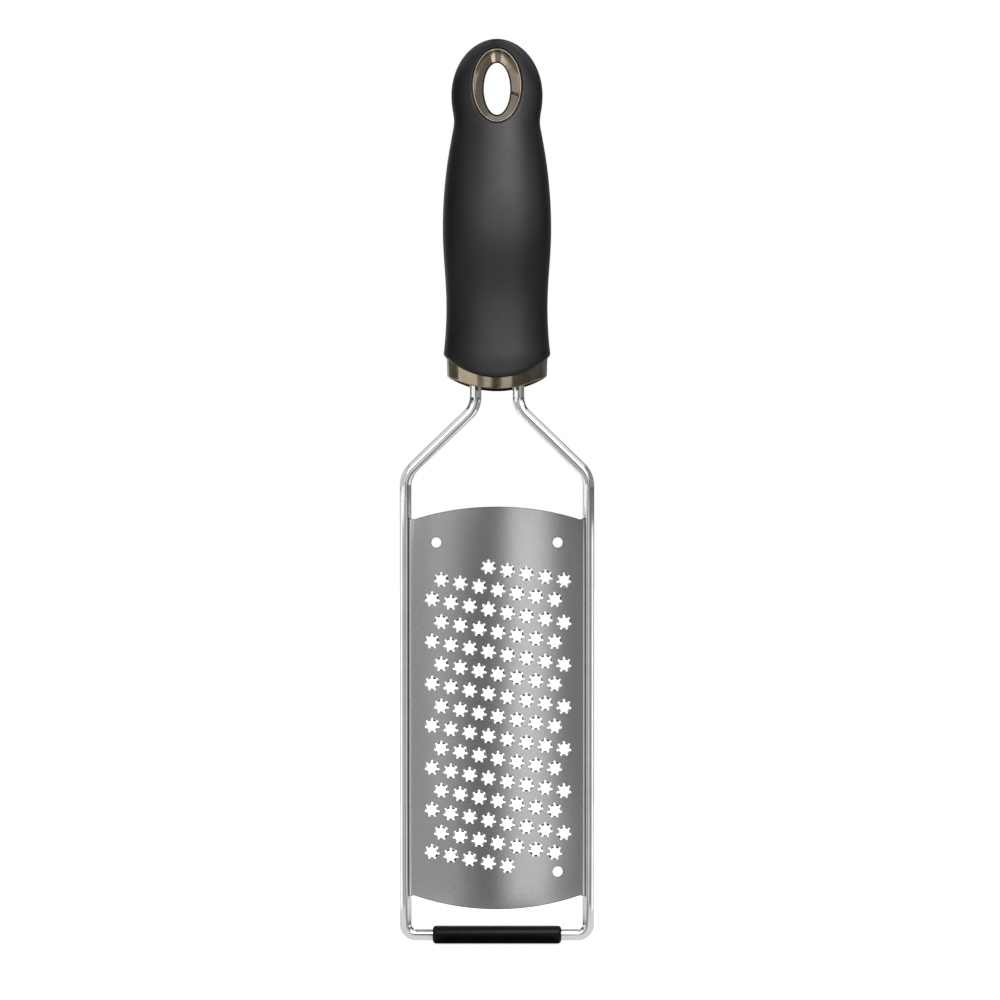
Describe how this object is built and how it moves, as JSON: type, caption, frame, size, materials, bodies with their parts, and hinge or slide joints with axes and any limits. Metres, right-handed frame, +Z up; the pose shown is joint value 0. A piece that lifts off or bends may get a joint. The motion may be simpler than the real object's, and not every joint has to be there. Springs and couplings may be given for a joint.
{
  "type": "parmesan grater",
  "caption": "Hand-held cheese grater with a crowned star-tooth blade in a bent wire frame, a soft-grip handle with a hang hole, and a rubber foot.",
  "frame": {"origin": "middle of the hang hole, in the middle plane of the handle and the wire frame", "axes": "+Z up the handle with the grater hanging upright, +X to the right, the teeth face -Y"},
  "size_m": [0.068, 0.029, 0.3169],
  "materials": {
    "soft_grip": "black soft-touch, matt",
    "core_plastic": "dark grey moulded plastic",
    "bronze_trim": "bronze anodised, satin",
    "bright_wire": "polished stainless steel",
    "blade_steel": "satin stainless sheet",
    "foot_rubber": "black, satin"
  },
  "bodies": {
    "root": {"soft_grip": "soft_grip", "handle_core": "core_plastic", "end_collar": "bronze_trim", "hang_ring_front": "bronze_trim", "hang_ring_back": "bronze_trim", "wire_frame": "bright_wire", "blade": "blade_steel", "foot_sleeve": "foot_rubber"}
  },
  "joints": []
}
